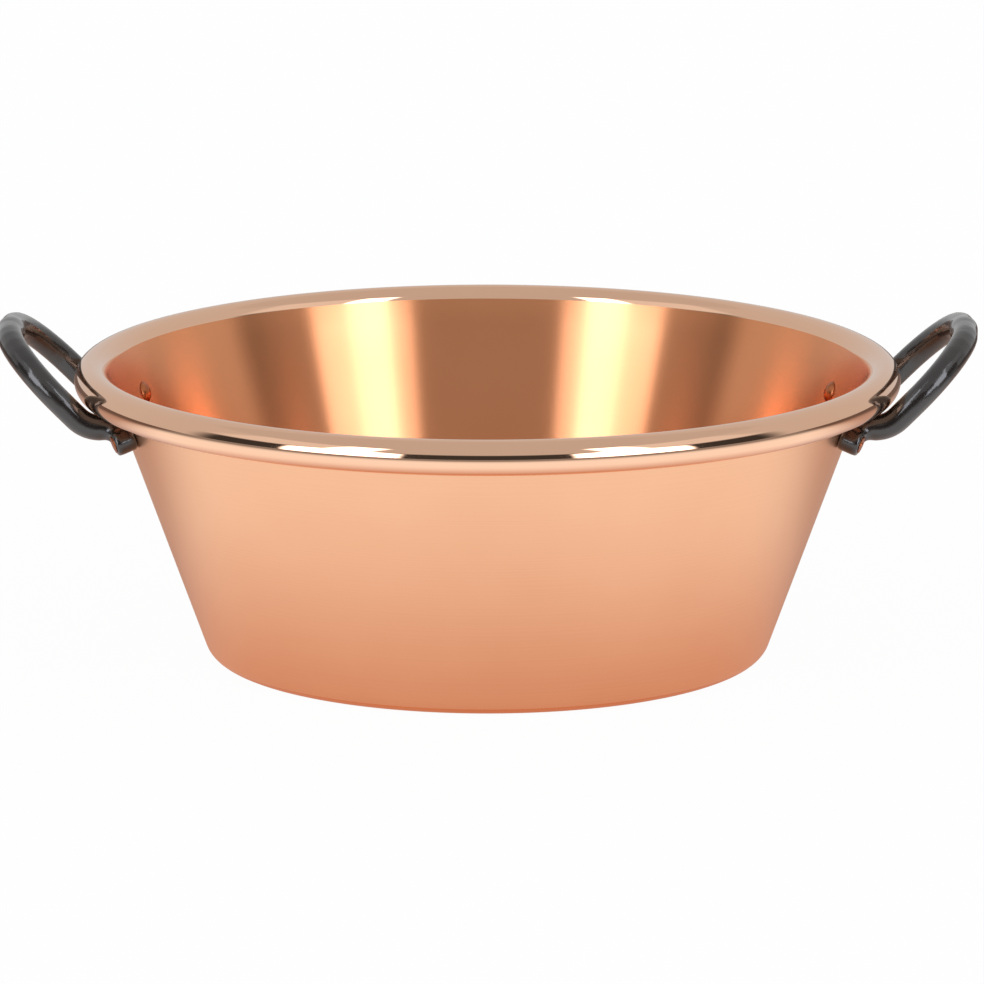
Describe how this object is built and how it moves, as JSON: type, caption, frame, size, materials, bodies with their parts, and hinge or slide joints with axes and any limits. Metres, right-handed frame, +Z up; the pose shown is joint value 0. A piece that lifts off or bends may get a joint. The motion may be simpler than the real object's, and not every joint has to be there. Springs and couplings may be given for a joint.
{
  "type": "jam pan",
  "caption": "Wide open copper pan with sloping sides, a rolled rim and riveted black iron loop handles, for boiling jam.",
  "frame": {"origin": "middle of the flat base", "axes": "+X towards the right handle, +Y towards the back, +Z up along the pan's axis"},
  "size_m": [0.4508, 0.38, 0.1578],
  "materials": {
    "copper": "polished",
    "iron": "glossy black",
    "rivet": "hammered"
  },
  "bodies": {
    "root": {"pan_body": "copper", "left_handle": "iron", "right_handle": "iron", "left_front_rivet": "rivet", "left_back_rivet": "rivet", "right_front_rivet": "rivet", "right_back_rivet": "rivet"}
  },
  "joints": []
}
